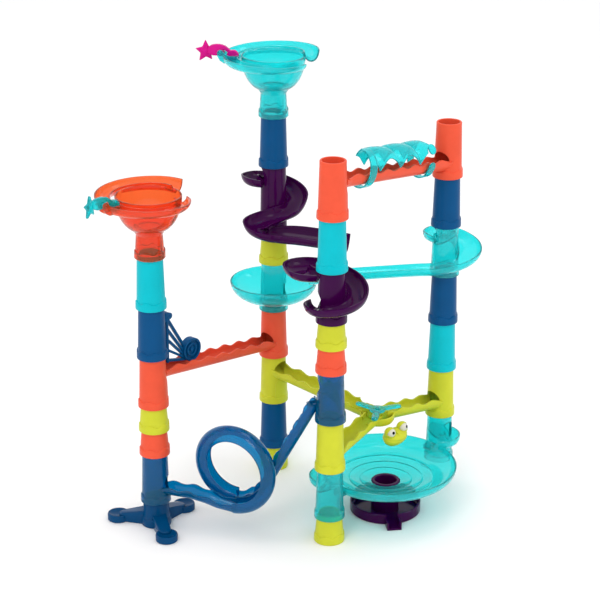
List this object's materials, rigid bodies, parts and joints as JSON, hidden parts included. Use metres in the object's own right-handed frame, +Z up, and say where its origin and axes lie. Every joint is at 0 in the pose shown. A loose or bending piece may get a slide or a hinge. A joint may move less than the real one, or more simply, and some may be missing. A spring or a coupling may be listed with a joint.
{
  "type": "marble run",
  "caption": "Toy marble run: columns of stacked tubes joined by chutes, spiral slides, a loop, funnels with star levers, a frog junction and a drain dish.",
  "frame": {"origin": "centre of the front column's foot, on the floor", "axes": "+Z up the front column; +Y from the front column to the back column; +X towards the right column's side"},
  "size_m": [0.4493, 0.2836, 0.502],
  "materials": {
    "coral": "satin",
    "lime": "satin",
    "teal": "satin",
    "navy": "satin",
    "purple": "gloss",
    "clear_teal": "gloss, see-through",
    "clear_blue": "gloss, see-through",
    "clear_coral": "gloss, see-through",
    "clear_cyan": "gloss, see-through",
    "gloss_navy": "gloss",
    "pink": "gloss",
    "cream": "gloss",
    "black": "gloss"
  },
  "bodies": {
    "columns": {"left_base": "gloss_navy", "left_coral_coupler": "coral", "left_lime_coupler": "lime", "left_navy_tube": "navy", "left_teal_tube": "teal", "left_funnel": "clear_coral", "left_funnel_pin": "clear_coral", "harp_pin": "gloss_navy", "loop_drop_chute": "clear_blue", "loop_exit_chute": "clear_blue", "loop_ring": "clear_blue", "back_foot": "lime", "back_navy_tube_low": "navy", "back_bowl": "clear_teal", "back_lime_coupler": "lime", "back_purple_slide": "purple", "back_navy_tube_high": "navy", "back_funnel": "clear_teal", "back_funnel_pin": "clear_teal", "orange_bridge_lower": "coral", "orange_bridge_upper": "coral", "frog_junction": "lime", "frog_head": "lime", "frog_eyes": "cream", "frog_pupils": "black", "spinner_pin": "clear_teal", "right_teal_tube": "teal", "right_navy_tube_low": "navy", "right_teal_slide": "clear_teal", "right_navy_tube_high": "navy", "front_foot": "lime", "front_coral_coupler": "coral", "front_lime_coupler": "lime", "front_purple_spiral": "purple", "front_teal_tube": "teal", "whirl_front_tube": "clear_teal", "whirl_right_tube": "clear_teal", "whirl_basin": "clear_teal", "whirl_stand": "purple"},
    "left_lever": {"left_star_lever": "clear_cyan"},
    "back_lever": {"back_star_lever": "pink"},
    "flap": {"harp_flap": "gloss_navy"},
    "spinner": {"splash_spinner": "clear_teal"},
    "canopy": {"spiral_canopy": "clear_teal"}
  },
  "joints": [
    {"name": "left_star_press", "type": "hinge", "parent": "columns", "child": "left_lever", "pos_m": [-0.21875, 0.07373, 0.377], "axis": [0.3907, -0.9205, 0], "range_deg": [0, 14]},
    {"name": "back_star_press", "type": "hinge", "parent": "columns", "child": "back_lever", "pos_m": [-0.05166, 0.21609, 0.489], "axis": [-0.4226, -0.9063, 0], "range_deg": [0, 14]},
    {"name": "harp_swing", "type": "hinge", "parent": "columns", "child": "flap", "pos_m": [-0.14809, 0.1065, 0.238], "axis": [0.5, -0.866, 0], "range_deg": [0, 30]},
    {"name": "splash_turn", "type": "hinge", "parent": "columns", "child": "spinner", "pos_m": [0.07614, 0.06, 0.1152], "axis": [0, 0, 1], "continuous": true},
    {"name": "canopy_slide", "type": "slide", "parent": "columns", "child": "canopy", "axis": [0.8598, 0.4964, -0.1198], "range_m": [-0.008, 0.008]}
  ]
}
